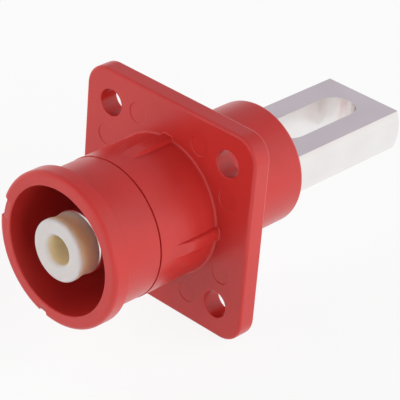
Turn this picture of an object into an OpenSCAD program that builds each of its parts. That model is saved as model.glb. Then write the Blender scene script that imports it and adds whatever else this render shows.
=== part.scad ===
// High current power connector, panel mounted, one pole
// The origin is the centre of the flange's rear face, which lies on the panel.
// Y is the mating axis: the mouth points to -Y and the cable bar to +Y. Z is up. Millimetres.

/* [Flange] */
// Side of the square flange
flange_w = 36; // [32:0.5:44]
// Thickness of the flange
flange_t = 3.4; // [2.8:0.1:5]
// Radius of the flange's corners
flange_corner_r = 4; // [2:0.5:4.5]
// Rounding of the flange's edges
flange_edge_r = 0.5; // [0.2:0.1:0.8]
// Distance between the screw holes, both ways
screw_pitch = 25; // [24.5:0.1:27]
// Diameter of the screw holes
screw_hole_d = 4.5; // [3.2:0.1:5]

/* [Ejector marks] */
// Diameter of the round marks that the mould's pins leave on the flange
mark_d = 3.5; // [2:0.1:3.6]
// Depth of the marks
mark_depth = 0.1; // [0.05:0.05:0.5]
// Distance of each mark from the nearer middle line of the flange
mark_near = 6.6; // [6.2:0.1:7.2]
// Distance of each mark from the other middle line
mark_far = 13.1; // [12.8:0.1:15]

/* [Mouth and front shell] */
// Diameter of the straight bore around the pin, from the rim to the floor
mouth_d = 20.7; // [20:0.1:21]
// Wall of the shell between the seam and the lip
shell_wall = 1.1; // [1:0.05:1.5]
// Length of the shell between the seam and the lip
shell_len = 7.6; // [6.5:0.1:10]
// Height of the lip above the shell
lip_step = 1.2; // [1.1:0.05:2]
// Length of the lip
lip_len = 3; // [2:0.1:5]
// Rounding of the lip's outer front edge
lip_round_r = 0.8; // [0.3:0.1:0.9]
// Rounding of the mouth's inner edge
mouth_round_r = 0.25; // [0.1:0.05:0.35]
// Length of the shell's thin spigot inside the housing
spigot_len = 3; // [2:0.1:4]
// Wall of the spigot
spigot_wall = 0.45; // [0.35:0.05:0.5]
// Height of the snap bead around the spigot
bead_h = 0.15; // [0.1:0.01:0.2]

/* [Front barrel of the housing] */
// Height of the housing above the shell at the seam
seam_step = 0.1; // [0:0.05:0.4]
// Length of the housing's barrel from the seam to the flange
barrel_len = 12; // [10:0.1:16]
// Length of the plain band between the seam and the ribs
band_len = 3.2; // [1.5:0.1:4.5]
// Drop of the radius from the seam to the flange
barrel_draft = 0.08; // [0:0.01:0.2]
// Fillet between the barrel and the flange
barrel_fillet_r = 0.4; // [0.2:0.05:1]
// Width of the fine groove along the seam
seam_groove_w = 0.18; // [0.1:0.02:0.4]
// Depth of that groove
seam_groove_depth = 0.35; // [0.1:0.05:0.45]
// Thickness of the floor that the pin passes through
floor_t = 4; // [3:0.1:5]
// Depth of the floor's rear face in front of the panel face
floor_back = 3; // [2.5:0.1:4]

/* [Ribs] */
// Width of the four ribs
rib_w = 2.2; // [1.2:0.1:3]
// Height of a rib's crest above the barrel at the flange
rib_h = 0.7; // [0.3:0.05:1.2]
// Length of the ramp at a rib's front end
rib_ramp_len = 3; // [1:0.1:6]
// Rounding of a rib's long edges
rib_round_r = 0.6; // [0.1:0.05:0.9]

/* [Rear barrel] */
// Wall of the rear barrel that passes through the panel
rear_wall = 1.95; // [1.7:0.05:2.5]
// Length of the rear barrel behind the panel face
rear_len = 18.1; // [15:0.1:20]
// Rounding of the rear barrel's outer edge
rear_round_r = 0.7; // [0.3:0.1:1]

/* [Keying notches] */
// Depth of the notches in the lip
notch_depth = 0.95; // [0.5:0.05:1.1]
// Width of the wide notch in degrees
wide_notch_angle = 17; // [10:1:30]
// Place of the wide notch, in degrees from the right side towards the top
wide_notch_at = 168.5; // [120:0.5:200]
// Width of the narrow notch in degrees
narrow_notch_angle = 7.5; // [5:0.5:12]
// Place of the narrow notch, in degrees from the right side towards the top
narrow_notch_at = 258.5; // [220:0.5:300]

/* [Contact] */
// Diameter of the contact pin
pin_d = 10.3; // [9:0.1:10.5]
// Length of the white tip that shows in front of the pin
tip_len = 4.1; // [3:0.1:6]
// Distance of the tip's front behind the rim of the lip
tip_setback = 0.1; // [0:0.05:1]
// Chamfer of the pin's front edge
pin_chamfer = 0.25; // [0.1:0.05:0.4]
// Diameter of the bar behind the floor
bar_d = 16.6; // [16:0.1:17]
// Distance of the bar's end behind the panel face
bar_reach = 44.9; // [42:0.1:55]
// Thickness of the bar across its two flats
flat_t = 7.1; // [5:0.1:9]
// Distance of the flats behind the rear barrel's end
flat_gap = 0.2; // [0.1:0.1:3]
// Chamfer of the bar's end
bar_chamfer = 0.4; // [0.2:0.1:0.8]

/* [Screw slot] */
// Width of the slot for the cable lug's screw
slot_w = 6.6; // [5.3:0.1:8.4]
// Length of the slot over its round ends
slot_len = 19; // [12:0.1:19.5]
// Solid metal between the slot and the end of the bar
slot_end_wall = 3.8; // [3:0.1:6]

/* [Contact tip] */
// Distance by which the tip's side lies inside the pin's
tip_inset = 0.1; // [0:0.05:0.4]
// Length of the head in front of the tip's waist
tip_head_len = 1.1; // [0.8:0.1:1.5]
// Depth of the hollow waist around the tip
tip_waist = 0.2; // [0.05:0.05:0.3]
// Rounding of the tip's front edge
tip_round_r = 0.5; // [0.3:0.1:0.8]
// Diameter of the tip's central hole
tip_hole_d = 4.8; // [3:0.1:5]
// Depth of the central hole
tip_hole_depth = 8; // [5:0.1:10]
// Rounding of the hole's mouth
tip_hole_round_r = 0.7; // [0.3:0.1:1]
// Wall of the hollow pin around the tip's stem
stem_hole_wall = 1.5; // [1.4:0.1:1.7]
// Length of the stem
stem_len = 8; // [7.5:0.1:10]
// Height of the snap bead around the stem
stem_bead_h = 0.2; // [0.1:0.05:0.25]

/* [Seals and retaining] */
// Section of the rubber ring around the bar
bar_seal_d = 1.5; // [1.4:0.1:1.8]
// Share of its section that this ring loses when squeezed
seal_squeeze = 0.17; // [0.1:0.01:0.25]
// Distance of the ring's middle behind the panel face
bar_seal_at = 5; // [4.5:0.1:7]
// Section of the rubber ring in the flange's rear face
panel_seal_d = 1.6; // [1.3:0.1:2]
// Height of that ring above the rear face
panel_seal_proud = 0.3; // [0.2:0.05:0.5]
// Distance of that ring's middle from the rear barrel
panel_seal_gap = 2.3; // [1.6:0.1:2.6]
// Radial width of the washer on the floor
washer_w = 2.75; // [2:0.05:4]
// Thickness of the washer
washer_t = 1; // [0.8:0.1:1.5]
// Thickness of the retaining ring
clip_t = 1; // [0.8:0.1:1.2]
// Radial width of the retaining ring
clip_w = 1.9; // [1.5:0.1:2.2]
// Depth of the retaining ring's groove
clip_groove_depth = 0.5; // [0.3:0.05:0.6]
// Gap between the ends of the retaining ring in degrees
clip_gap_angle = 26; // [20:1:60]

/* [Turning stop] */
// Width of the key in the rear bore that stops the bar from turning
key_w = 3; // [2:0.1:5]
// Height of the key above the bore's wall
key_h = 1.2; // [0.8:0.1:1.5]
// Length of the key from the floor
key_len = 5; // [3:0.1:5.2]

/* [Clearances] */
// Radial clearance of the pin in the floor's hole
pin_clear = 0.15; // [0.05:0.05:0.3]
// Radial clearance of the bar in the rear bore
bar_clear = 0.15; // [0.05:0.05:0.3]
// Radial clearance between the spigot and the shell
spigot_clear = 0.1; // [0.05:0.05:0.2]
// Radial clearance of the tip's stem in the pin
stem_clear = 0.05; // [0.02:0.01:0.1]
// Clearance on each side of the key
key_clear = 0.15; // [0.05:0.05:0.3]
// Side clearance of rings in their grooves
groove_clear = 0.2; // [0.1:0.05:0.3]
// Radial clearance of the washer around the pin
washer_clear = 0.1; // [0.05:0.05:0.2]

/* [Hidden] */
$fn = 96;
red = "#b52f2f";
silver = "#cfcdca";
ivory = "#d6cdc2";
steel = "#9a9a9c";
rubber = "#2b2b2d";
// Overlap that keeps cuts and joints free of coincident faces
cut = 0.4;
flange_front = -flange_t;
seam = flange_front - barrel_len;
spigot_back = seam + spigot_len;
floor_front = -floor_back - floor_t;
lip_back = seam - shell_len;
rim = lip_back - lip_len;
mouth_r = mouth_d / 2;
shell_r = mouth_r + shell_wall;
lip_r = shell_r + lip_step;
barrel_front_r = shell_r + seam_step;
barrel_root_r = barrel_front_r - barrel_draft;
spigot_r = mouth_r + spigot_wall;
socket_r = spigot_r + spigot_clear;
bead_at = seam + spigot_len / 2;
pin_r = pin_d / 2;
bar_r = bar_d / 2;
rear_bore_r = bar_r + bar_clear;
rear_r = rear_bore_r + rear_wall;
floor_hole_r = pin_r + pin_clear;
tip_front = rim + tip_setback;
pin_front = tip_front + tip_len;
stem_back = pin_front + stem_len;
stem_bore_r = pin_r - stem_hole_wall;
stem_r = stem_bore_r - stem_clear;
stem_bead_at = pin_front + stem_len / 2;
stem_relief = 0.3;
flat_start = rear_len + flat_gap;
slot_back = bar_reach - slot_end_wall;
slot_front = slot_back - slot_len;
washer_front = floor_front - washer_t;
clip_groove_front = washer_front - clip_t - groove_clear / 2;
clip_groove_r = pin_r - clip_groove_depth;
bar_seal_gap = bar_seal_d * (1 - seal_squeeze);
bar_seal_groove_r = rear_bore_r - bar_seal_gap;
bar_seal_w = bar_seal_d * (1 + seal_squeeze);
panel_seal_ring_r = rear_r + panel_seal_gap;
panel_groove_depth = panel_seal_d - panel_seal_proud;
panel_groove_w = panel_seal_d + groove_clear;
key_floor_r = rear_bore_r - key_h;
rib_front = seam + band_len;
rib_crest_r = barrel_root_r + rib_h;
// How far a rib's foot reaches into the barrel's wall
rib_root = 0.5;
rib_foot_r = barrel_root_r - rib_root;
// Depth of the ribs' front ends below the barrel's surface
rib_sink = 0.03;
rib_tip_r = barrel_front_r - barrel_draft * band_len / barrel_len - rib_sink;

// Turns a profile of (radius, distance along Y) around the mating axis
module turned() {
    rotate([-90, 0, 0]) rotate_extrude() children();
}

// A round bar along Y from one station to another
module rod_y(r, from, to) {
    translate([0, from, 0]) rotate([-90, 0, 0]) cylinder(r = r, h = to - from);
}

// The square corner piece that is left outside a quarter circle, its corner at the origin
module corner_piece(r) {
    difference() {
        square(r);
        translate([r, r]) circle(r);
    }
}

// A corner piece whose corner lies a little outside the profile it trims
module corner_trim(r) {
    difference() {
        translate([-cut, -cut]) square(r + cut);
        translate([r, r]) circle(r);
    }
}

// Four copies, a quarter turn apart, around the mating axis
module four_ways() {
    for (a = [0 : 90 : 270]) rotate([0, a, 0]) children();
}

// The section of a slab as thick as the flange, with rounded edges
module edge_section(w) {
    e = flange_edge_r;
    translate([-w / 2, flange_front + e]) square([w, flange_t - 2 * e]);
    translate([-w / 2 + e, flange_front]) square([w - 2 * e, flange_t]);
    for (x = [-1, 1], y = [flange_front + e, -e]) translate([x * (w / 2 - e), y]) circle(e);
}

// The square plate: two crossed slabs and a round-edged disc at each corner
module flange_plate() {
    corner = flange_w / 2 - flange_corner_r;
    for (a = [0, 90]) rotate([0, a, 0]) translate([0, 0, -corner])
        linear_extrude(2 * corner) edge_section(flange_w);
    for (x = [-1, 1], z = [-1, 1]) translate([x, 0, z] * corner) turned() intersection() {
        edge_section(2 * flange_corner_r);
        translate([0, -flange_w]) square(2 * flange_w);
    }
}

// The outside of the two barrels, from the seam to the rear end
module barrel_profile() {
    difference() {
        union() {
            polygon([
                [0, seam], [barrel_front_r, seam], [barrel_root_r, flange_front],
                [barrel_root_r, -cut], [rear_r, -cut], [rear_r, rear_len], [0, rear_len]
            ]);
            translate([barrel_root_r, flange_front]) mirror([0, 1]) corner_piece(barrel_fillet_r);
        }
        translate([barrel_front_r - seam_groove_depth, seam - cut])
            square([seam_groove_depth + cut, cut + seam_groove_w]);
        translate([rear_r, rear_len]) rotate(180) corner_trim(rear_round_r);
    }
}

// One rib: a bar with two rounded long edges and a ramp at its front end
module rib() {
    intersection() {
        translate([0, flange_front + cut, 0]) rotate([90, 0, 0])
            linear_extrude(flange_front + cut - rib_front) {
                translate([-rib_w / 2, rib_foot_r])
                    square([rib_w, rib_crest_r - rib_round_r - rib_foot_r]);
                translate([-rib_w / 2 + rib_round_r, rib_foot_r])
                    square([rib_w - 2 * rib_round_r, rib_crest_r - rib_foot_r]);
                for (x = [-1, 1])
                    translate([x * (rib_w / 2 - rib_round_r), rib_crest_r - rib_round_r])
                        circle(rib_round_r);
            }
        rotate([90, 0, 90]) translate([0, 0, -rib_w]) linear_extrude(2 * rib_w) polygon([
            [rib_front - cut, rib_foot_r - cut], [rib_front - cut, rib_tip_r],
            [rib_front, rib_tip_r], [rib_front + rib_ramp_len, rib_crest_r + rib_sink],
            [0, rib_crest_r + rib_sink], [0, rib_foot_r - cut]
        ]);
    }
}

module screw_holes() {
    for (x = [-1, 1], z = [-1, 1]) translate([x, 0, z] * screw_pitch / 2)
        rod_y(screw_hole_d / 2, flange_front - cut, cut);
}

module ejector_marks() {
    four_ways() for (side = [-1, 1]) translate([side * mark_near, 0, mark_far])
        rod_y(mark_d / 2, flange_front - cut, flange_front + mark_depth);
}

// The ring-shaped groove in the flange's rear face
module panel_groove() {
    turned() translate([panel_seal_ring_r - panel_groove_w / 2, -panel_groove_depth])
        square([panel_groove_w, panel_groove_depth + cut]);
}

// The ramped section of the snap bead on a cylinder, from its rear foot to its front foot
function bead_corners(r) = [
    [r, bead_at + 2 * bead_h], [r + bead_h, bead_at + bead_h / 2],
    [r + bead_h, bead_at - bead_h / 2], [r, bead_at - 2 * bead_h]
];

// The socket for the shell's spigot, with the groove for its snap bead
module spigot_socket() {
    turned() polygon(concat(
        [[0, spigot_back + spigot_clear], [socket_r, spigot_back + spigot_clear]],
        bead_corners(socket_r),
        [[socket_r, seam - cut], [0, seam - cut]]
    ));
}

// The key on the lower side of the rear bore
module key(w, from, to, inner_r, outer_r) {
    translate([-w / 2, from, -outer_r]) cube([w, to - from, outer_r - inner_r]);
}

module flange_housing() {
    color(red) {
        difference() {
            union() {
                flange_plate();
                turned() barrel_profile();
                four_ways() rib();
            }
            rod_y(mouth_r, seam - cut, floor_front);
            spigot_socket();
            rod_y(floor_hole_r, floor_front - cut, -floor_back + cut);
            rod_y(rear_bore_r, -floor_back, rear_len + cut);
            screw_holes();
            ejector_marks();
            panel_groove();
        }
        intersection() {
            key(key_w, -floor_back - cut, -floor_back + key_len, key_floor_r, rear_bore_r + cut);
            rod_y(rear_bore_r + cut, -floor_back - cut, rear_len);
        }
    }
}

module shell_profile() {
    difference() {
        polygon(concat(
            [[mouth_r, spigot_back], [spigot_r, spigot_back]],
            bead_corners(spigot_r),
            [[spigot_r, seam], [shell_r, seam], [shell_r, lip_back], [lip_r, lip_back]],
            [[lip_r, rim], [mouth_r, rim]]
        ));
        translate([lip_r, rim]) mirror([1, 0]) corner_trim(lip_round_r);
        translate([mouth_r, rim]) corner_trim(mouth_round_r);
    }
}

// A notch along the whole lip, centred on an angle
module notch(at, angle) {
    floor_r = lip_r - notch_depth;
    rotate([0, -at - angle / 2, 0]) rotate([-90, 0, 0]) rotate_extrude(angle = angle)
        translate([floor_r, rim - cut]) square([notch_depth + cut, lip_len + cut]);
}

module front_shell() {
    color(red) difference() {
        turned() shell_profile();
        notch(wide_notch_at, wide_notch_angle);
        notch(narrow_notch_at, narrow_notch_angle);
    }
}

// The turned form of the contact, before milling
module contact_profile() {
    difference() {
        polygon([
            [0, pin_front], [pin_r - pin_chamfer, pin_front], [pin_r, pin_front + pin_chamfer],
            [pin_r, -floor_back], [bar_r - bar_chamfer, -floor_back],
            [bar_r, -floor_back + bar_chamfer], [bar_r, bar_reach - bar_chamfer],
            [bar_r - bar_chamfer, bar_reach], [0, bar_reach]
        ]);
        translate([-cut, pin_front - cut]) square([cut + stem_bore_r, stem_len + stem_relief + cut]);
        translate([stem_bore_r, stem_bead_at]) circle(stem_bead_h);
        translate([clip_groove_r, clip_groove_front])
            square([clip_groove_depth + cut, clip_t + groove_clear]);
        translate([bar_seal_groove_r, bar_seal_at - bar_seal_w / 2 - groove_clear])
            square([bar_d, bar_seal_w + 2 * groove_clear]);
    }
}

// The metal that is milled off above and below the bar
module flat_cuts() {
    for (side = [0, 180]) rotate([0, side, 0])
        translate([-bar_d, flat_start, flat_t / 2]) cube([2 * bar_d, bar_reach, bar_d]);
}

module screw_slot() {
    r = slot_w / 2;
    translate([0, 0, -flat_t]) linear_extrude(2 * flat_t) {
        translate([-r, slot_front + r]) square([slot_w, slot_len - slot_w]);
        for (y = [slot_front + r, slot_back - r]) translate([0, y]) circle(r);
    }
}

module contact_bar() {
    color(silver) difference() {
        turned() contact_profile();
        flat_cuts();
        screw_slot();
        key(key_w + 2 * key_clear, -floor_back - cut, -floor_back + key_len + key_clear,
            key_floor_r - key_clear, bar_d);
    }
}

module tip_profile() {
    tip_r = pin_r - tip_inset;
    waist_half = (tip_len - tip_head_len) / 2;
    waist_curve_r = (pow(waist_half, 2) + pow(tip_waist, 2)) / (2 * tip_waist);
    difference() {
        union() {
            polygon([
                [0, tip_front], [tip_r, tip_front], [tip_r, pin_front], [stem_r, pin_front],
                [stem_r, stem_back], [0, stem_back]
            ]);
            translate([stem_r, stem_bead_at]) circle(stem_bead_h);
        }
        translate([tip_r - tip_waist + waist_curve_r, pin_front - waist_half]) circle(waist_curve_r);
        translate([tip_r, tip_front]) mirror([1, 0]) corner_trim(tip_round_r);
        translate([-cut, tip_front - cut]) square([tip_hole_d / 2 + cut, tip_hole_depth + cut]);
        translate([tip_hole_d / 2, tip_front]) corner_trim(tip_hole_round_r);
    }
}

module contact_tip() {
    color(ivory) turned() tip_profile();
}

module contact_washer() {
    color(steel) turned() translate([pin_r + washer_clear, washer_front]) square([washer_w, washer_t]);
}

// An open ring with a small eye at each end, snapped into the pin's groove
module contact_clip() {
    back = washer_front;
    inner_r = clip_groove_r + washer_clear;
    eye_r = clip_w / 2;
    eye_hole_r = 0.5;
    eye_turn = 5;
    eye_angle = clip_gap_angle / 2 + eye_turn;
    color(steel) translate([0, back - clip_t, 0]) rotate([-90, 0, 0]) difference() {
        union() {
            difference() {
                cylinder(r = inner_r + clip_w, h = clip_t);
                translate([0, 0, -cut]) cylinder(r = inner_r, h = clip_t + 2 * cut);
                translate([0, 0, -cut]) linear_extrude(clip_t + 2 * cut)
                    polygon([[0, 0], for (s = [-1, 1]) 2 * pin_d
                        * [s * sin(clip_gap_angle / 2), cos(clip_gap_angle / 2)]]);
            }
            for (s = [-1, 1]) rotate(s * eye_angle)
                translate([0, inner_r + clip_w]) cylinder(r = eye_r, h = clip_t);
        }
        for (s = [-1, 1]) rotate(s * eye_angle)
            translate([0, inner_r + clip_w, -cut]) cylinder(r = eye_hole_r, h = clip_t + 2 * cut);
    }
}

// The rubber ring between the bar's groove and the rear bore, squeezed flat on both
module contact_seal() {
    color(rubber) turned() intersection() {
        translate([bar_seal_groove_r + bar_seal_gap / 2, bar_seal_at]) circle(bar_seal_w / 2);
        translate([bar_seal_groove_r, bar_seal_at - bar_seal_w])
            square([bar_seal_gap, 2 * bar_seal_w]);
    }
}

module panel_seal() {
    color(rubber) turned()
        translate([panel_seal_ring_r, panel_seal_d / 2 - panel_groove_depth])
            circle(panel_seal_d / 2);
}

flange_housing();
front_shell();
contact_bar();
contact_tip();
contact_washer();
contact_clip();
contact_seal();
panel_seal();
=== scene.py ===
"""The looks of the high current power connector, in Blender.

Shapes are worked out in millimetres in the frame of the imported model: the flange's rear face
is at Y = 0, the mouth points to -Y and Z is up. Every mesh of the part is scaled to metres
when it is made.
"""
import math

import bmesh
import bpy
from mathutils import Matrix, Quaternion, Vector
from mathutils.geometry import delaunay_2d_cdt


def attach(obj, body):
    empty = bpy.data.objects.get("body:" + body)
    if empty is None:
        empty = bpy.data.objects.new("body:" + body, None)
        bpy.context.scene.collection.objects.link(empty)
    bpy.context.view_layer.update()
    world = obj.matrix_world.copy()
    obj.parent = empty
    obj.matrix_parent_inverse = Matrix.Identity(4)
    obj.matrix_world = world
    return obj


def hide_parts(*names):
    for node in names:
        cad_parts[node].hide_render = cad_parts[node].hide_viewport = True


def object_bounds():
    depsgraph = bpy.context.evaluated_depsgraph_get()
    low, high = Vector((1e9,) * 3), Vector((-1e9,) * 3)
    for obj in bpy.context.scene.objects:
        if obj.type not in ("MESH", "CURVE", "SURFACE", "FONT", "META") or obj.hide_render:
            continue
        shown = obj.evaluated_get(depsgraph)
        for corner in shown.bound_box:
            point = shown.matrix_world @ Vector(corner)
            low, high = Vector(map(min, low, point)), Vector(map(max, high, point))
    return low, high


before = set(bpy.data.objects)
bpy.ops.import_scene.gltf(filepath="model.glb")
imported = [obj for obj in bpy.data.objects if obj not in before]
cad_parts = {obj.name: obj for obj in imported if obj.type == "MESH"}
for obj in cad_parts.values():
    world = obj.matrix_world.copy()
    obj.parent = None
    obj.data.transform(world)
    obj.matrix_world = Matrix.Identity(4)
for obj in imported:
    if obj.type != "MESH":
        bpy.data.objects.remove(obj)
CAD_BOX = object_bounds()
MM = 0.001
QUARTER = math.pi / 2
# Differences below this, in millimetres, degrees or radians, are rounding errors
TINY = 1e-6
# Distance in metres below which two points of a mesh become one
WELD = 1e-7

# Flange, in millimetres like all sizes of the part
FLANGE_W = 36.0
FLANGE_T = 3.4
FLANGE_CORNER_R = 4.0
FLANGE_EDGE_R = 0.5
SCREW_PITCH = 25.0
SCREW_HOLE_R = 2.25
SCREW_RIM_R = 0.15
MARK_R = 1.75
MARK_DEPTH = 0.1
MARK_RIM_R = 0.06
MARK_NEAR = 6.6
MARK_FAR = 13.1

# Front barrel of the housing
BARREL_FRONT_R = 11.55
BARREL_ROOT_R = 11.47
BARREL_LEN = 12.0
BARREL_FILLET_R = 0.4
BAND_LEN = 3.2
SEAM_GROOVE_W = 0.18
SEAM_GROOVE_DEPTH = 0.35
SEAM_EDGE_R = 0.08
SEAM_CORNER_R = 0.03
SOCKET_R = 10.9
SPIGOT_GAP = 0.1

# Ribs. The ramp starts a little inside the barrel, and BLEND is the width of a soft transition
RIB_HALF_W = 1.1
RIB_H = 0.7
RIB_ROUND_R = 0.6
RIB_FILLET_R = 0.2
RIB_FOOT_FILLET_R = 0.35
RIB_FOOT_BLEND = 0.03
RIB_RAMP_LEN = 3.0
RIB_RAMP_BLEND = 0.15
RIB_SINK = 0.03

# Inside of the housing
FLOOR_T = 4.0
FLOOR_BACK = 3.0
FLOOR_HOLE_R = 5.3
FLOOR_FILLET_R = 0.3
SMALL_CORNER_R = 0.1

# Rear barrel
REAR_R = 10.4
REAR_LEN = 18.1
REAR_ROUND_R = 0.7
REAR_FOOT_R = 0.2
REAR_BORE_R = 8.45
REAR_BORE_ROUND_R = 0.25

# Front shell
SHELL_R = 11.45
SHELL_LEN = 7.6
MOUTH_R = 10.35
MOUTH_ROUND_R = 0.25
SPIGOT_R = 10.8
SPIGOT_LEN = 3.0
SPIGOT_EDGE_R = 0.05
SPIGOT_ROOT_R = 0.02
LIP_R = 12.65
LIP_LEN = 3.0
LIP_ROUND_R = 0.8
LIP_BACK_R = 0.12
LIP_FOOT_R = 0.15
NOTCH_DEPTH = 0.95
NOTCH_WALL_W = 0.2
# Each notch: its middle in degrees from +X towards +Z, and its width in degrees
NOTCHES = ((168.5, 17.0), (258.5, 7.5))
# The width of a notch's wall in degrees
NOTCH_WALL = math.degrees(NOTCH_WALL_W / LIP_R)

# Contact bar
PIN_R = 5.15
PIN_CHAMFER = 0.25
STEM_HOLE_R = 3.65
STEM_RELIEF = 0.3
CLIP_GROOVE_R = 4.65
CLIP_GROOVE = (-9.1, -7.9)
BAR_R = 8.3
BAR_REACH = 44.9
BAR_GROOVE_R = 7.205
BAR_GROOVE = (3.92, 6.08)
BAR_EDGE = 0.18
FLAT_T = 7.1
FLAT_START = 18.3
SLOT_W = 6.6
SLOT_LEN = 19.0
SLOT_END_WALL = 3.8
# How far the cutting blocks reach past the end of the bar
CUT_PAST = 2.0

# Contact tip
TIP_LEN = 4.1
TIP_SETBACK = 0.1
TIP_R = 5.05
TIP_ROUND_R = 0.5
TIP_HEAD_LEN = 1.1
TIP_WAIST = 0.2
TIP_HOLE_R = 2.4
TIP_HOLE_DEPTH = 8.0
TIP_HOLE_ROUND_R = 0.7
TIP_HOLE_FLOOR_R = 0.2
# Depth behind the tip's front face over which the face's painted white light gives way to the
# cream tone with painted warm bounce light
TIP_PAINTED_LIGHT_LEN = 1.3
STEM_R = 3.6
STEM_LEN = 8.0
STEM_EDGE_R = 0.2

# Seals
BAR_SEAL_AT = 5.0
BAR_SEAL_W = 1.75
BAR_SEAL_D = 1.245
PANEL_SEAL_D = 1.6
PANEL_SEAL_RING_R = 12.7
PANEL_SEAL_PROUD = 0.3
PANEL_GROOVE_W = 1.8
PANEL_GROOVE_MARGIN = 0.3

# Places along Y
FLANGE_FRONT = -FLANGE_T
SEAM = FLANGE_FRONT - BARREL_LEN
RIB_FRONT = SEAM + BAND_LEN
SPIGOT_BACK = SEAM + SPIGOT_LEN
FLOOR_FRONT = -FLOOR_BACK - FLOOR_T
LIP_BACK = SEAM - SHELL_LEN
RIM = LIP_BACK - LIP_LEN
TIP_FRONT = RIM + TIP_SETBACK
PIN_FRONT = TIP_FRONT + TIP_LEN

# Width of the narrow flat rings that keep the shading of a rounded edge off a wide flat face
FLAT_GUARD = 0.06
# Length from which a straight of a turned profile gets such rings
LONG_STRAIGHT = 1.2
# Length of the straights that lead into the first and out of the last corner of an open path
LEAD = 1.0
# Largest share of a straight that the rounding of one corner takes up
CORNER_SHARE = 0.7
# How much the large faces count at a shared point's normal, 50 being neither more nor less
NORMAL_WEIGHT = 60

# Steps round the axis in degrees: the widest, the finest, and how far the finest reach to both
# sides of a rib's middle or a notch's wall. Beyond, a step grows by a share of the distance.
HOUSING_STEP = 2.0
HOUSING_FINE_STEP = 0.2
HOUSING_FINE_ZONE = 7.5
SHELL_STEP = 1.5
SHELL_FINE_STEP = 0.15
SHELL_FINE_ZONE = 1.5 * NOTCH_WALL
STEP_GROWTH = 0.25

# Number of steps along each side or curve, or round each circle
SIDE_STEPS = 24
CORNER_STEPS = 12
FILLET_STEPS = 10
RIB_STEPS = 36
SCREW_HOLE_STEPS = 72
MARK_STEPS = 48
TIP_STEPS = 192
WAIST_STEPS = 14
BAR_STEPS = 160
SLOT_END_STEPS = 24
SEAL_STEPS = 160
SEAL_SECTION_STEPS = 28

# The photo's view, fitted to the flange, the rims and the bar: degrees and millimetres
CAMERA_AZIMUTH = 41.33
CAMERA_ELEVATION = 30.21
CAMERA_ROLL = 4.94
CAMERA_DISTANCE = 325.17
CAMERA_AIM = (2.745, 2.215, -0.258)
SENSOR_W = 36.0
LENS = 186.48

# The values between which a noise mostly lies, where a ramp of colours starts and ends
NOISE_SPAN = (0.3, 0.7)

WHITE = (1, 1, 1, 1)
# The sky as light, and as it is mirrored: above, and then in front and near the horizon
SKY_LIGHT = (0.05, 0.05, 0.05, 1)
SKY_MIRRORED = (0.55, 0.51, 0.56, 1)
FRONT_MIRRORED = (1.0, 0.97, 0.95, 1)
# Where the mirrored sky starts to turn bright and where it is, as the Y and the Z of a direction
FRONT_FADE = (-0.2, -0.9)
HORIZON_FADE = (0.35, 0.05)
# The studio floor's half width in metres, its colour, and how much of it shows as plain white
STAGE_REACH = 3.0
STAGE_COLOUR = (0.92, 0.92, 0.92, 1)
STAGE_GLOW = 0.88
# The lamps' distance and diameter in metres, and each one's name, azimuth, elevation and watts
LAMP_DISTANCE = 0.9
LAMP_D = 0.8
LAMPS = (
    ("right", 84, 9, 5.0),
    ("right_rear", 140, 25, 3.6),
    ("front", -20, 5, 4.6),
    ("left", -90, 25, 4.7),
    ("above_front", 0, 30, 1.2),
    ("above_right", 105, 40, 1.4),
)


class Builder:
    """Collects loops of points and the faces between them, and makes one closed mesh."""

    def __init__(self):
        self.points = []
        self.faces = []

    def loop(self, points):
        first = len(self.points)
        self.points.extend(points)
        return list(range(first, len(self.points)))

    def bridge(self, a, b):
        count = len(a)
        for i in range(count):
            j = (i + 1) % count
            self.faces.append((a[i], a[j], b[j], b[i]))

    def bridge_all(self, loops, closed=False):
        for a, b in zip(loops, loops[1:]):
            self.bridge(a, b)
        if closed:
            self.bridge(loops[-1], loops[0])

    def cap(self, loop):
        self.faces.append(tuple(loop))

    def rings(self, path, angles, x=0.0, z=0.0, closed=False):
        """Turns a (radius, Y) path round the line through (x, z), and returns its loops."""
        loops = [self.loop(circle(r, y, angles, x, z)) for r, y in path]
        self.bridge_all(loops, closed)
        return loops

    def solid(self, path, angles):
        """Turns a (radius, Y) path round the Y axis, and closes both ends."""
        loops = self.rings(path, angles)
        self.cap(loops[0])
        self.cap(loops[-1])

    def fill(self, outer, holes):
        """Fills the flat face between an outer loop and the hole loops, all at one Y."""
        loops = [outer] + holes
        outlines = [[(self.points[i][0], self.points[i][2]) for i in loop] for loop in loops]
        ids = [i for loop in loops for i in loop]
        flat = [Vector(point) for outline in outlines for point in outline]
        edges, start = [], 0
        for loop in loops:
            count = len(loop)
            edges.extend((start + k, start + (k + 1) % count) for k in range(count))
            start += count
        # Output type 0 fills the whole hull, holes too, so each face is tried against the outlines
        points, _, faces, origins = delaunay_2d_cdt(flat, edges, [], 0, TINY)[:4]
        for face in faces:
            middle = sum((points[v] for v in face), Vector((0, 0))) / len(face)
            in_hole = any(inside(middle, hole) for hole in outlines[1:])
            if inside(middle, outlines[0]) and not in_hole:
                self.faces.append(tuple(ids[origins[v][0]] for v in face))

    def mesh(self, name):
        """The mesh in metres, smooth all over, its faces turned outwards."""
        mesh = bpy.data.meshes.new(name)
        bm = bmesh.new()
        verts = [bm.verts.new(Vector(p) * MM) for p in self.points]
        for face in self.faces:
            bm.faces.new([verts[i] for i in face])
        # Points of neighbouring loops fall together on the floor of a notch
        bmesh.ops.remove_doubles(bm, verts=bm.verts, dist=WELD)
        bmesh.ops.recalc_face_normals(bm, faces=bm.faces)
        for face in bm.faces:
            face.smooth = True
        bm.to_mesh(mesh)
        bm.free()
        return mesh

    def make(self, name, material, node):
        place(add_object(name, self.mesh(name)), material, node)


def inside(point, outline):
    """Whether a point lies inside a closed outline of (x, z) points."""
    within = False
    x, z = point
    for (ax, az), (bx, bz) in zip(outline, outline[1:] + outline[:1]):
        if (az > z) != (bz > z) and x < (bx - ax) * (z - az) / (bz - az) + ax:
            within = not within
    return within


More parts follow.
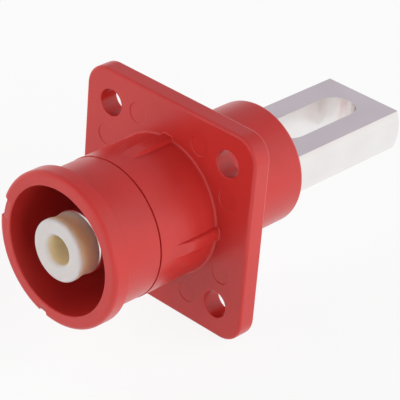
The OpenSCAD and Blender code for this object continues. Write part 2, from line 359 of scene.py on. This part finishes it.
def add_object(name, data):
    """A new object in the scene."""
    obj = bpy.data.objects.new(name, data)
    bpy.context.scene.collection.objects.link(obj)
    return obj


def place(obj, material, node):
    """Gives a new piece its material, and puts it in the place of its CAD node."""
    obj.data.materials.append(material)
    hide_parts(node)
    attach(obj, "root")
    smooth = obj.modifiers.new("even_normals", "WEIGHTED_NORMAL")
    smooth.weight = NORMAL_WEIGHT
    smooth.keep_sharp = True


def soften(path, steps):
    """Rounds the corners of a path of (radius, Y, rounding) points, in steps for each quarter
    turn. The two ends of an open path have no rounding."""
    out = []
    for i, (r, y, rounding) in enumerate(path):
        if not rounding:
            out.append((r, y))
            continue
        here = Vector((r, y))
        before = Vector(path[i - 1][:2]) - here
        after = Vector(path[(i + 1) % len(path)][:2]) - here
        angle = before.angle(after)
        reach = rounding / math.tan(angle / 2)
        reach = min(reach, before.length * CORNER_SHARE, after.length * CORNER_SHARE)
        radius = reach * math.tan(angle / 2)
        inward = (before.normalized() + after.normalized()).normalized()
        middle = here + inward * (radius / math.sin(angle / 2))
        first = here + before.normalized() * reach - middle
        last = here + after.normalized() * reach - middle
        parts = max(2, round(steps * (math.pi - angle) / QUARTER) + 1)
        out += [tuple(middle + slerp(first, last, k / parts)) for k in range(parts + 1)]
    return out


def slerp(a, b, t):
    """Turns one radius vector towards another of the same length, by a share of the way."""
    whole = a.angle(b)
    if whole < TINY:
        return a.lerp(b, t)
    return (a * math.sin((1 - t) * whole) + b * math.sin(t * whole)) / math.sin(whole)


def guard_straights(path, closed=False):
    """Adds a point just inside both ends of each long straight of a (radius, Y) path, so that
    the shading of the rounded corners stays off it."""
    out = [path[0]]
    for start, end in zip(path, path[1:] + path[:1] if closed else path[1:]):
        a, b = Vector(start), Vector(end)
        length = (b - a).length
        if length > LONG_STRAIGHT:
            out.append(tuple(a.lerp(b, FLAT_GUARD / length)))
            out.append(tuple(b.lerp(a, FLAT_GUARD / length)))
        out.append(end)
    return out[:-1] if closed else out


def guard_ends(path):
    """Pulls both ends of a path in, to just beyond its first and its last rounding."""
    ends = []
    for end, near in ((path[0], path[1]), (path[-1], path[-2])):
        way = Vector(end) - Vector(near)
        ends.append(tuple(Vector(near) + way.normalized() * FLAT_GUARD))
    return [ends[0], *path[1:-1], ends[1]]


def degrees_between(a, b):
    """How far apart two directions round the axis are."""
    return abs((a - b + 180) % 360 - 180)


def graded_angles(coarse, fine, middles, zone):
    """Angles round the axis, in steps of degrees: fine within the zone to both sides of each
    middle, and growing away from it, so that no narrow face meets a much wider one."""
    out = []
    a = 0.0
    while a < 360.0 - TINY:
        out.append(math.radians(a))
        beyond = min(max(0.0, degrees_between(a, middle) - zone) for middle in middles)
        a += min(coarse, fine + STEP_GROWTH * beyond)
    return out


def even_angles(count):
    return [2 * math.pi * i / count for i in range(count)]


def around(angle, r, y, x=0.0, z=0.0):
    """The point at an angle and a radius round the line through (x, z) along Y."""
    return (x + r * math.cos(angle), y, z + r * math.sin(angle))


def circle(r, y, angles, x=0.0, z=0.0):
    return [around(a, r, y, x, z) for a in angles]


def rounded_square(reach, corner_r, y):
    """The flange's outline, anticlockwise seen from -Y, with its sides at the given reach."""
    at = reach - corner_r
    arcs = []
    for quarter, (x, z) in enumerate(((at, at), (-at, at), (-at, -at), (at, -at))):
        turns = [90 * quarter + 90 * i / CORNER_STEPS for i in range(CORNER_STEPS + 1)]
        arcs.append(circle(corner_r, y, [math.radians(turn) for turn in turns], x, z))
    out = []
    for arc, after in zip(arcs, arcs[1:] + arcs[:1]):
        start, end = Vector(arc[-1]), Vector(after[0])
        out += arc
        out += [tuple(start.lerp(end, k / SIDE_STEPS)) for k in range(1, SIDE_STEPS)]
    return out


def smooth_max(a, b, blend):
    """The larger of two values, rounded off where they are nearly the same."""
    h = max(0.0, min(1.0, 0.5 + 0.5 * (a - b) / blend))
    return b + (a - b) * h + blend * h * (1 - h)


def smooth_step(t):
    """Rises softly from 0 to 1 as t does."""
    t = max(0.0, min(1.0, t))
    return t * t * (3 - 2 * t)


def quarter_fillet(distance, radius):
    """How far a fillet stands out at a distance from the face that it runs into."""
    if distance >= radius:
        return 0.0
    return radius - math.sqrt(radius**2 - (radius - distance) ** 2)


def plain_barrel_radius(y):
    """The radius of the barrel beside its ribs, without the fillet."""
    return BARREL_FRONT_R - (BARREL_FRONT_R - BARREL_ROOT_R) * (y - SEAM) / BARREL_LEN


def barrel_radius(angle, y):
    """The radius of the ribbed barrel at one angle and place along Y."""
    plain = plain_barrel_radius(y)
    out = plain + quarter_fillet(FLANGE_FRONT - y, BARREL_FILLET_R)
    if y <= RIB_FRONT:
        return out
    off = angle - round(angle / QUARTER) * QUARTER
    across = abs(math.sin(off)) * plain
    crest = BARREL_ROOT_R + RIB_H
    tip = plain_barrel_radius(RIB_FRONT) - RIB_SINK
    ramp = tip + (crest - tip) * (y - RIB_FRONT) / RIB_RAMP_LEN
    foot_r = max(0.0, min(RIB_FOOT_FILLET_R, (min(crest, ramp) - plain) / 2))
    # How far across the rib's rounded side stands at the top of the fillet along its foot
    foot_drop = foot_r + RIB_ROUND_R - (crest - plain)
    side = RIB_HALF_W - RIB_ROUND_R + math.sqrt(max(0.0, RIB_ROUND_R**2 - foot_drop**2))
    if across > side:
        out += quarter_fillet(across - side, foot_r)
    if across < RIB_HALF_W:
        into_edge = max(0.0, across - (RIB_HALF_W - RIB_ROUND_R))
        top = crest - RIB_ROUND_R + math.sqrt(RIB_ROUND_R**2 - into_edge**2)
        top = -smooth_max(-top, -ramp, RIB_RAMP_BLEND)
        top += quarter_fillet(FLANGE_FRONT - y, RIB_FILLET_R)
        out = smooth_max(out, top / math.cos(off), RIB_FOOT_BLEND)
    return out


def barrel_loops(b, angles):
    """Loops from the flange's front face over the fillet and forward to the ribs' tips."""

    def ribbed_loop(y, out=0.0):
        return b.loop([around(a, barrel_radius(a, y) + out, y) for a in angles])

    places = [
        FLANGE_FRONT - BARREL_FILLET_R * (1 - math.cos(QUARTER * i / FILLET_STEPS))
        for i in range(FILLET_STEPS + 1)
    ]
    start = places[-1]
    places += [start + (RIB_FRONT - start) * i / RIB_STEPS for i in range(1, RIB_STEPS + 1)]
    return [ribbed_loop(FLANGE_FRONT, FLAT_GUARD)] + [ribbed_loop(y) for y in places]


def housing_profile():
    """The rest of the housing's turned form: forward over the band, into the seam, back through
    the bores, over the rear barrel and round the panel seal's groove in the flange."""
    groove_r = BARREL_FRONT_R - SEAM_GROOVE_DEPTH
    spigot_stop = SPIGOT_BACK + SPIGOT_GAP
    panel_groove_in = PANEL_SEAL_RING_R - PANEL_GROOVE_W / 2
    panel_groove_out = PANEL_SEAL_RING_R + PANEL_GROOVE_W / 2
    panel_groove_floor = PANEL_SEAL_PROUD - PANEL_SEAL_D
    path = [
        (plain_barrel_radius(RIB_FRONT), RIB_FRONT, 0),
        (BARREL_FRONT_R, SEAM + SEAM_GROOVE_W, SEAM_EDGE_R),
        (groove_r, SEAM + SEAM_GROOVE_W, SEAM_CORNER_R),
        (groove_r, SEAM, SEAM_CORNER_R),
        (SOCKET_R, SEAM, SEAM_CORNER_R),
        (SOCKET_R, spigot_stop, SEAM_CORNER_R),
        (MOUTH_R, spigot_stop, SEAM_CORNER_R),
        (MOUTH_R, FLOOR_FRONT, FLOOR_FILLET_R),
        (FLOOR_HOLE_R, FLOOR_FRONT, SMALL_CORNER_R),
        (FLOOR_HOLE_R, -FLOOR_BACK, SMALL_CORNER_R),
        (REAR_BORE_R, -FLOOR_BACK, SMALL_CORNER_R),
        (REAR_BORE_R, REAR_LEN, REAR_BORE_ROUND_R),
        (REAR_R, REAR_LEN, REAR_ROUND_R),
        (REAR_R, 0, REAR_FOOT_R),
        (panel_groove_in, 0, SMALL_CORNER_R),
        (panel_groove_in, panel_groove_floor, SMALL_CORNER_R),
        (panel_groove_out, panel_groove_floor, SMALL_CORNER_R),
        (panel_groove_out, 0, SMALL_CORNER_R),
        (panel_groove_out + PANEL_GROOVE_MARGIN, 0, 0),
    ]
    # The first point is already on the last barrel loop
    return guard_straights(soften(path, steps=4))[1:]


def flange_edge(b):
    """Loops round the flange's edge, from its front face to its rear face."""
    half = FLANGE_W / 2
    path = [
        (half - LEAD, FLANGE_FRONT, 0),
        (half, FLANGE_FRONT, FLANGE_EDGE_R),
        (half, 0, FLANGE_EDGE_R),
        (half - LEAD, 0, 0),
    ]
    loops = []
    for reach, y in guard_ends(soften(path, steps=5)):
        loops.append(b.loop(rounded_square(reach, FLANGE_CORNER_R - (half - reach), y)))
    b.bridge_all(loops)
    return loops


def screw_hole(b, x, z):
    """Loops through one screw hole, from the flange's front face to its rear face."""
    path = [
        (SCREW_HOLE_R + LEAD, FLANGE_FRONT, 0),
        (SCREW_HOLE_R, FLANGE_FRONT, SCREW_RIM_R),
        (SCREW_HOLE_R, 0, SCREW_RIM_R),
        (SCREW_HOLE_R + LEAD, 0, 0),
    ]
    return b.rings(guard_ends(soften(path, steps=4)), even_angles(SCREW_HOLE_STEPS), x, z)


def ejector_mark(b, x, z):
    """One shallow round mark, of which the loop on the flange's front face is returned."""
    bottom = FLANGE_FRONT + MARK_DEPTH
    path = [
        (MARK_R + LEAD, FLANGE_FRONT, 0),
        (MARK_R, FLANGE_FRONT, MARK_RIM_R),
        (MARK_R, bottom, MARK_RIM_R),
        (MARK_R - LEAD, bottom, 0),
    ]
    loops = b.rings(guard_ends(soften(path, steps=2)), even_angles(MARK_STEPS), x, z)
    b.cap(loops[-1])
    return loops[0]


def flange_housing(material):
    """The housing: one closed mesh, from the barrel through the bores and round the flange."""
    b = Builder()
    ribs = [90 * quarter for quarter in range(4)]
    angles = graded_angles(HOUSING_STEP, HOUSING_FINE_STEP, ribs, HOUSING_FINE_ZONE)
    barrel = barrel_loops(b, angles)
    turned = [b.loop(circle(r, y, angles)) for r, y in housing_profile()]
    b.bridge_all(barrel + turned)
    edge = flange_edge(b)

    at = SCREW_PITCH / 2
    holes = [screw_hole(b, x * at, z * at) for x in (-1, 1) for z in (-1, 1)]
    marks = []
    for quarter in range(4):
        cos, sin = math.cos(quarter * QUARTER), math.sin(quarter * QUARTER)
        for near in (-MARK_NEAR, MARK_NEAR):
            marks.append(ejector_mark(b, near * cos - MARK_FAR * sin, near * sin + MARK_FAR * cos))

    b.fill(edge[0], [barrel[0]] + [hole[0] for hole in holes] + marks)
    b.fill(edge[-1], [turned[-1]] + [hole[-1] for hole in holes])
    b.make("flange_housing_moulding", material, "flange_housing")


def notched_radius(angle, r, y):
    """A radius of the shell's profile, brought down to a notch's floor where there is one."""
    floor_r = LIP_R - NOTCH_DEPTH
    if y > LIP_BACK + TINY or r <= floor_r:
        return r
    share = 0.0
    for middle, width in NOTCHES:
        off = degrees_between(math.degrees(angle), middle)
        share = max(share, smooth_step((width / 2 - off) / NOTCH_WALL + 0.5))
    return r + (floor_r - r) * share


def front_shell(material):
    """The front shell: a turned ring with notches along its lip."""
    path = [
        (MOUTH_R, SPIGOT_BACK, SPIGOT_EDGE_R),
        (SPIGOT_R, SPIGOT_BACK, SPIGOT_EDGE_R),
        (SPIGOT_R, SEAM, SPIGOT_ROOT_R),
        (SHELL_R, SEAM, SEAM_EDGE_R),
        (SHELL_R, LIP_BACK, LIP_FOOT_R),
        (LIP_R, LIP_BACK, LIP_BACK_R),
        (LIP_R, RIM, LIP_ROUND_R),
        (MOUTH_R, RIM, MOUTH_ROUND_R),
    ]
    walls = [middle + side * width / 2 for middle, width in NOTCHES for side in (-1, 1)]
    angles = graded_angles(SHELL_STEP, SHELL_FINE_STEP, walls, SHELL_FINE_ZONE)
    b = Builder()
    loops = []
    for r, y in guard_straights(soften(path, steps=6), closed=True):
        loops.append(b.loop([around(a, notched_radius(a, r, y), y) for a in angles]))
    b.bridge_all(loops, closed=True)
    b.make("front_shell_moulding", material, "front_shell")


def tip_waist():
    """The hollow from the tip's head back to just before the pin, on one arc."""
    half = (TIP_LEN - TIP_HEAD_LEN) / 2
    curve_r = (half**2 + TIP_WAIST**2) / (2 * TIP_WAIST)
    points = []
    for i in range(WAIST_STEPS):
        off = half * (2 * i / WAIST_STEPS - 1)
        r = TIP_R - TIP_WAIST + curve_r - math.sqrt(curve_r**2 - off**2)
        points.append((r, PIN_FRONT - half + off, 0))
    return points


def contact_tip(material):
    """The tip: a head with a central hole, a hollow waist and a stem that sits in the pin."""
    stem_back = PIN_FRONT + STEM_LEN
    bottom = TIP_FRONT + TIP_HOLE_DEPTH
    path = [
        (0, bottom, 0),
        (TIP_HOLE_R, bottom, TIP_HOLE_FLOOR_R),
        (TIP_HOLE_R, TIP_FRONT, TIP_HOLE_ROUND_R),
        (TIP_R, TIP_FRONT, TIP_ROUND_R),
        *tip_waist(),
        (TIP_R, PIN_FRONT, SMALL_CORNER_R),
        (STEM_R, PIN_FRONT, SMALL_CORNER_R),
        (STEM_R, stem_back, STEM_EDGE_R),
        (0, stem_back, 0),
    ]
    b = Builder()
    b.solid(guard_straights(soften(path, steps=8)[1:-1]), even_angles(TIP_STEPS))
    b.make("contact_tip_moulding", material, "contact_tip")


def cutter(name, outline, low, high):
    """A prism that stands on an (x, y) outline, from one height to another."""
    b = Builder()
    bottom = b.loop([(x, y, low) for x, y in outline])
    top = b.loop([(x, y, high) for x, y in outline])
    b.cap(bottom)
    b.cap(top)
    b.bridge(bottom, top)
    return add_object(name, b.mesh(name))


def bar_cutters():
    """The blocks that mill the two flats, and the one that mills the slot."""
    wide, past = 2 * BAR_R, BAR_REACH + CUT_PAST
    block = [(-wide, FLAT_START), (wide, FLAT_START), (wide, past), (-wide, past)]
    r = SLOT_W / 2
    back = BAR_REACH - SLOT_END_WALL - r
    front = BAR_REACH - SLOT_END_WALL - SLOT_LEN + r
    turns = [math.pi * i / SLOT_END_STEPS for i in range(SLOT_END_STEPS + 1)]
    slot = [(r * math.cos(a), back + r * math.sin(a)) for a in turns]
    slot += [(-r * math.cos(a), front - r * math.sin(a)) for a in turns]
    return [
        cutter("cut_top", block, FLAT_T / 2, FLAT_T / 2 + wide),
        cutter("cut_bottom", block, -FLAT_T / 2 - wide, -FLAT_T / 2),
        cutter("cut_slot", slot, -FLAT_T, FLAT_T),
    ]


def carve(obj, cutters):
    """Cuts each cutter out of the object's mesh and removes the cutters."""
    for tool in cutters:
        cut = obj.modifiers.new("cut", "BOOLEAN")
        cut.operation = "DIFFERENCE"
        cut.solver = "EXACT"
        cut.object = tool
    graph = bpy.context.evaluated_depsgraph_get()
    made = bpy.data.meshes.new_from_object(obj.evaluated_get(graph))
    obj.modifiers.clear()
    obj.data = made
    for tool in cutters:
        bpy.data.objects.remove(tool)


def contact_bar(material):
    """The contact: a turned pin and bar with milled flats and a slot, its edges broken."""
    path = [
        (STEM_HOLE_R, PIN_FRONT + STEM_LEN + STEM_RELIEF),
        (STEM_HOLE_R, PIN_FRONT),
        (PIN_R - PIN_CHAMFER, PIN_FRONT),
        (PIN_R, PIN_FRONT + PIN_CHAMFER),
        (PIN_R, CLIP_GROOVE[0]),
        (CLIP_GROOVE_R, CLIP_GROOVE[0]),
        (CLIP_GROOVE_R, CLIP_GROOVE[1]),
        (PIN_R, CLIP_GROOVE[1]),
        (PIN_R, -FLOOR_BACK),
        (BAR_R, -FLOOR_BACK),
        (BAR_R, BAR_GROOVE[0]),
        (BAR_GROOVE_R, BAR_GROOVE[0]),
        (BAR_GROOVE_R, BAR_GROOVE[1]),
        (BAR_R, BAR_GROOVE[1]),
        (BAR_R, BAR_REACH),
    ]
    b = Builder()
    b.solid(path, even_angles(BAR_STEPS))
    bar = add_object("contact_bar_metal", b.mesh("contact_bar_metal"))
    carve(bar, bar_cutters())
    bevel = bar.modifiers.new("broken_edges", "BEVEL")
    bevel.width = BAR_EDGE * MM
    bevel.segments = 3
    bevel.limit_method = "ANGLE"
    bevel.angle_limit = math.radians(30)
    bevel.harden_normals = True
    bevel.use_clamp_overlap = True
    place(bar, material, "contact_bar")


def seal_ring(name, node, material, middle, width, height):
    """A rubber ring with an oval section, whose middle is given as (radius, Y)."""
    section = [
        (middle[0] + height / 2 * math.cos(t), middle[1] + width / 2 * math.sin(t))
        for t in even_angles(SEAL_SECTION_STEPS)
    ]
    b = Builder()
    b.rings(section, even_angles(SEAL_STEPS), closed=True)
    b.make(name, material, node)


def panel_seal(material):
    middle = (PANEL_SEAL_RING_R, PANEL_SEAL_PROUD - PANEL_SEAL_D / 2)
    seal_ring("panel_seal_ring", "panel_seal", material, middle, PANEL_SEAL_D, PANEL_SEAL_D)


def contact_seal(material):
    middle = ((BAR_GROOVE_R + REAR_BORE_R) / 2, BAR_SEAL_AT)
    seal_ring("contact_seal_ring", "contact_seal", material, middle, BAR_SEAL_W, BAR_SEAL_D)


class Nodes:
    """Short calls that add and join the nodes of one tree."""

    def __init__(self, tree):
        self.tree = tree

    def add(self, kind, **values):
        node = self.tree.nodes.new(kind)
        for key, value in values.items():
            setattr(node, key, value)
        return node

    def join(self, source, target):
        self.tree.links.new(source, target)

    def axes(self, vector):
        """The X, Y and Z of a vector."""
        node = self.add("ShaderNodeSeparateXYZ")
        self.join(vector, node.inputs["Vector"])
        return node.outputs

    def fade(self, source, start, end):
        """Rises softly from 0 to 1 as the source goes from start to end."""
        node = self.add("ShaderNodeMapRange", interpolation_type="SMOOTHSTEP")
        node.inputs["From Min"].default_value = start
        node.inputs["From Max"].default_value = end
        self.join(source, node.inputs["Value"])
        return node.outputs["Result"]

    def choose(self, share, low, high):
        """Goes from one colour to another, each of which is a tuple or comes from a node."""
        node = self.add("ShaderNodeMix", data_type="RGBA")
        self.join(share, node.inputs["Factor"])
        for socket, value in ((node.inputs["A"], low), (node.inputs["B"], high)):
            if isinstance(value, tuple):
                socket.default_value = value
            else:
                self.join(value, socket)
        return node.outputs["Result"]


class Surface(Nodes):
    """A material with Blender's main shader, and short calls for its textures."""

    def __init__(self, name):
        self.material = bpy.data.materials.new(name)
        self.material.use_nodes = True
        super().__init__(self.material.node_tree)
        self.shader = self.tree.nodes["Principled BSDF"].inputs
        self.where = self.add("ShaderNodeTexCoord").outputs["Object"]

    def stretched(self, scale):
        node = self.add("ShaderNodeMapping")
        node.inputs["Scale"].default_value = scale
        self.join(self.where, node.inputs["Vector"])
        return node.outputs["Vector"]

    def noise(self, scale, detail=3.0, rough=0.5, vector=None):
        node = self.add("ShaderNodeTexNoise")
        node.inputs["Scale"].default_value = scale
        node.inputs["Detail"].default_value = detail
        node.inputs["Roughness"].default_value = rough
        self.join(vector or self.where, node.inputs["Vector"])
        return node.outputs["Fac"]

    def ramp(self, source, low, high):
        """A colour for each value of a noise."""
        node = self.add("ShaderNodeValToRGB")
        first, last = node.color_ramp.elements
        first.position, last.position = NOISE_SPAN
        first.color, last.color = low, high
        self.join(source, node.inputs["Fac"])
        return node.outputs["Color"]

    def grey_ramp(self, source, low, high):
        return self.ramp(source, (low, low, low, 1), (high, high, high, 1))

    def bump(self, source, strength, distance):
        node = self.add("ShaderNodeBump")
        node.inputs["Strength"].default_value = strength
        node.inputs["Distance"].default_value = distance
        self.join(source, node.inputs["Height"])
        return node.outputs["Normal"]


def red_plastic():
    """Satin moulded nylon: slow colour drift, fine mould grain and faint flow marks."""
    m = Surface("red_plastic")
    drift = m.noise(scale=90.0, detail=2.0)
    colour = m.ramp(drift, (0.545, 0.028, 0.024, 1), (0.595, 0.033, 0.028, 1))
    m.join(colour, m.shader["Base Color"])
    flow = m.noise(scale=260.0, detail=1.0)
    m.join(m.grey_ramp(flow, 0.285, 0.335), m.shader["Roughness"])
    grain = m.noise(scale=5200.0, detail=2.0, rough=0.6)
    m.join(m.bump(grain, strength=0.05, distance=0.02 * MM), m.shader["Normal"])
    m.shader["IOR"].default_value = 1.52
    return m.material


def silver_plate():
    """Silver plated copper: bright and satin, with faint milling lines across the bar."""
    m = Surface("silver_plate")
    drift = m.noise(scale=110.0, detail=2.0)
    colour = m.ramp(drift, (0.86, 0.83, 0.82, 1), (0.91, 0.89, 0.88, 1))
    m.join(colour, m.shader["Base Color"])
    m.shader["Metallic"].default_value = 1.0
    lines = m.noise(scale=700.0, detail=2.0, vector=m.stretched((0.15, 3.0, 1.0)))
    m.join(m.grey_ramp(lines, 0.20, 0.26), m.shader["Roughness"])
    m.join(m.bump(lines, strength=0.05, distance=0.01 * MM), m.shader["Normal"])
    return m.material


def ivory_plastic():
    """Moulded plastic that light passes into: a cream tone with painted warm bounce light in its
    hole and on its sides, and a whiter front face with painted white light on it.
    """
    m = Surface("ivory_plastic")
    drift = m.noise(scale=300.0, detail=2.0)
    cream_and_painted_bounce = m.ramp(drift, (0.93, 0.78, 0.56, 1), (0.96, 0.82, 0.61, 1))
    # Painted light: the front face is whiter where white light falls, the rest warmer where the
    # red mouth's bounce light falls, over the plastic's own cream tone
    painted_face_light = m.fade(m.axes(m.where)["Y"], (TIP_FRONT + TIP_PAINTED_LIGHT_LEN) * MM, TIP_FRONT * MM)
    m.join(m.choose(painted_face_light, cream_and_painted_bounce, (0.70, 0.67, 0.66, 1)), m.shader["Base Color"])
    m.join(m.grey_ramp(m.noise(scale=700.0), 0.38, 0.48), m.shader["Roughness"])
    grain = m.noise(scale=3000.0)
    m.join(m.bump(grain, strength=0.08, distance=0.03 * MM), m.shader["Normal"])
    m.shader["Subsurface Weight"].default_value = 0.9
    m.shader["Subsurface Radius"].default_value = (1.0, 0.78, 0.6)
    m.shader["Subsurface Scale"].default_value = 3.2 * MM
    return m.material


def spring_steel():
    """Plain grey steel with a little uneven gloss."""
    m = Surface("spring_steel")
    colour = m.ramp(m.noise(scale=900.0), (0.36, 0.36, 0.37, 1), (0.48, 0.48, 0.49, 1))
    m.join(colour, m.shader["Base Color"])
    m.shader["Metallic"].default_value = 1.0
    m.join(m.grey_ramp(m.noise(scale=2000.0), 0.28, 0.42), m.shader["Roughness"])
    return m.material


def rubber():
    """Matt black rubber with a fine grain."""
    m = Surface("rubber")
    colour = m.ramp(m.noise(scale=500.0), (0.012, 0.012, 0.013, 1), (0.022, 0.022, 0.024, 1))
    m.join(colour, m.shader["Base Color"])
    m.join(m.grey_ramp(m.noise(scale=1500.0), 0.5, 0.65), m.shader["Roughness"])
    grain = m.noise(scale=4000.0)
    m.join(m.bump(grain, strength=0.15, distance=0.03 * MM), m.shader["Normal"])
    return m.material


def dress(node_name, material):
    """Gives a CAD node that keeps its own mesh a better material."""
    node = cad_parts[node_name]
    for s in node.material_slots:
        s.link = "OBJECT"
        s.material = material


def direction(azimuth, elevation):
    """The way out from the part, at an azimuth from -Y towards +X and an elevation, in degrees."""
    a, e = math.radians(azimuth), math.radians(elevation)
    return Vector((math.sin(a) * math.cos(e), -math.cos(a) * math.cos(e), math.sin(e)))


def camera():
    """The photo's view."""
    data = bpy.data.cameras.new("camera")
    data.sensor_width = SENSOR_W
    data.lens = LENS
    data.clip_start = 0.01
    data.clip_end = 20.0
    cam = add_object("camera", data)
    back = direction(CAMERA_AZIMUTH, CAMERA_ELEVATION)
    cam.location = (Vector(CAMERA_AIM) + back * CAMERA_DISTANCE) * MM
    cam.rotation_mode = "QUATERNION"
    turn = Quaternion((0, 0, 1), math.radians(CAMERA_ROLL))
    cam.rotation_quaternion = (-back).to_track_quat("-Z", "Y") @ turn
    bpy.context.scene.camera = cam


def sky():
    """A dim sky that is pale where it is mirrored, and white to the camera."""
    world = bpy.data.worlds.new("studio")
    bpy.context.scene.world = world
    world.use_nodes = True
    n = Nodes(world.node_tree)
    way = n.axes(n.add("ShaderNodeTexCoord").outputs["Generated"])
    mirrored = n.choose(n.fade(way["Y"], *FRONT_FADE), SKY_MIRRORED, FRONT_MIRRORED)
    mirrored = n.choose(n.fade(way["Z"], *HORIZON_FADE), mirrored, FRONT_MIRRORED)
    path = n.add("ShaderNodeLightPath").outputs
    lit = n.choose(path["Is Glossy Ray"], SKY_LIGHT, mirrored)
    shown = n.choose(path["Is Camera Ray"], lit, WHITE)
    n.join(shown, n.tree.nodes["Background"].inputs["Color"])


def floor_material():
    """Pale and matt, and mostly plain white to the camera and where it is mirrored."""
    material = bpy.data.materials.new("floor")
    material.use_nodes = True
    n = Nodes(material.node_tree)
    n.tree.nodes.clear()
    diffuse = n.add("ShaderNodeBsdfDiffuse")
    diffuse.inputs["Color"].default_value = STAGE_COLOUR
    glow = n.add("ShaderNodeEmission")
    glow.inputs["Color"].default_value = WHITE
    path = n.add("ShaderNodeLightPath").outputs
    seen = n.add("ShaderNodeMath", operation="MAXIMUM")
    n.join(path["Is Camera Ray"], seen.inputs[0])
    n.join(path["Is Glossy Ray"], seen.inputs[1])
    share = n.add("ShaderNodeMath", operation="MULTIPLY")
    share.inputs[1].default_value = STAGE_GLOW
    n.join(seen.outputs[0], share.inputs[0])
    mix = n.add("ShaderNodeMixShader")
    n.join(share.outputs[0], mix.inputs["Fac"])
    n.join(diffuse.outputs[0], mix.inputs[1])
    n.join(glow.outputs[0], mix.inputs[2])
    n.join(mix.outputs[0], n.add("ShaderNodeOutputMaterial").inputs["Surface"])
    return material


def pale_floor():
    """The floor under the part, which keeps its shadow."""
    r, low = STAGE_REACH, CAD_BOX[0].z
    corners = [(-r, -r, low), (r, -r, low), (r, r, low), (-r, r, low)]
    mesh = bpy.data.meshes.new("floor")
    mesh.from_pydata(corners, [], [(0, 1, 2, 3)])
    mesh.materials.append(floor_material())
    floor = add_object("floor", mesh)


def soft_lamp(name, azimuth, elevation, power):
    """A round soft lamp that faces the part and is not mirrored in it."""
    data = bpy.data.lights.new(name, "AREA")
    data.shape = "DISK"
    data.size = LAMP_D
    data.energy = power
    lamp = add_object(name, data)
    lamp.visible_glossy = False
    away = direction(azimuth, elevation)
    lamp.location = away * LAMP_DISTANCE
    lamp.rotation_mode = "QUATERNION"
    lamp.rotation_quaternion = (-away).to_track_quat("-Z", "Y")


def main():
    camera()
    red = red_plastic()
    steel = spring_steel()
    black = rubber()
    flange_housing(red)
    front_shell(red)
    contact_bar(silver_plate())
    contact_tip(ivory_plastic())
    panel_seal(black)
    contact_seal(black)
    dress("contact_washer", steel)
    dress("contact_clip", steel)
    sky()
    pale_floor()
    for lamp in LAMPS:
        soft_lamp(*lamp)
    bpy.context.scene.view_settings.view_transform = "Standard"


main()
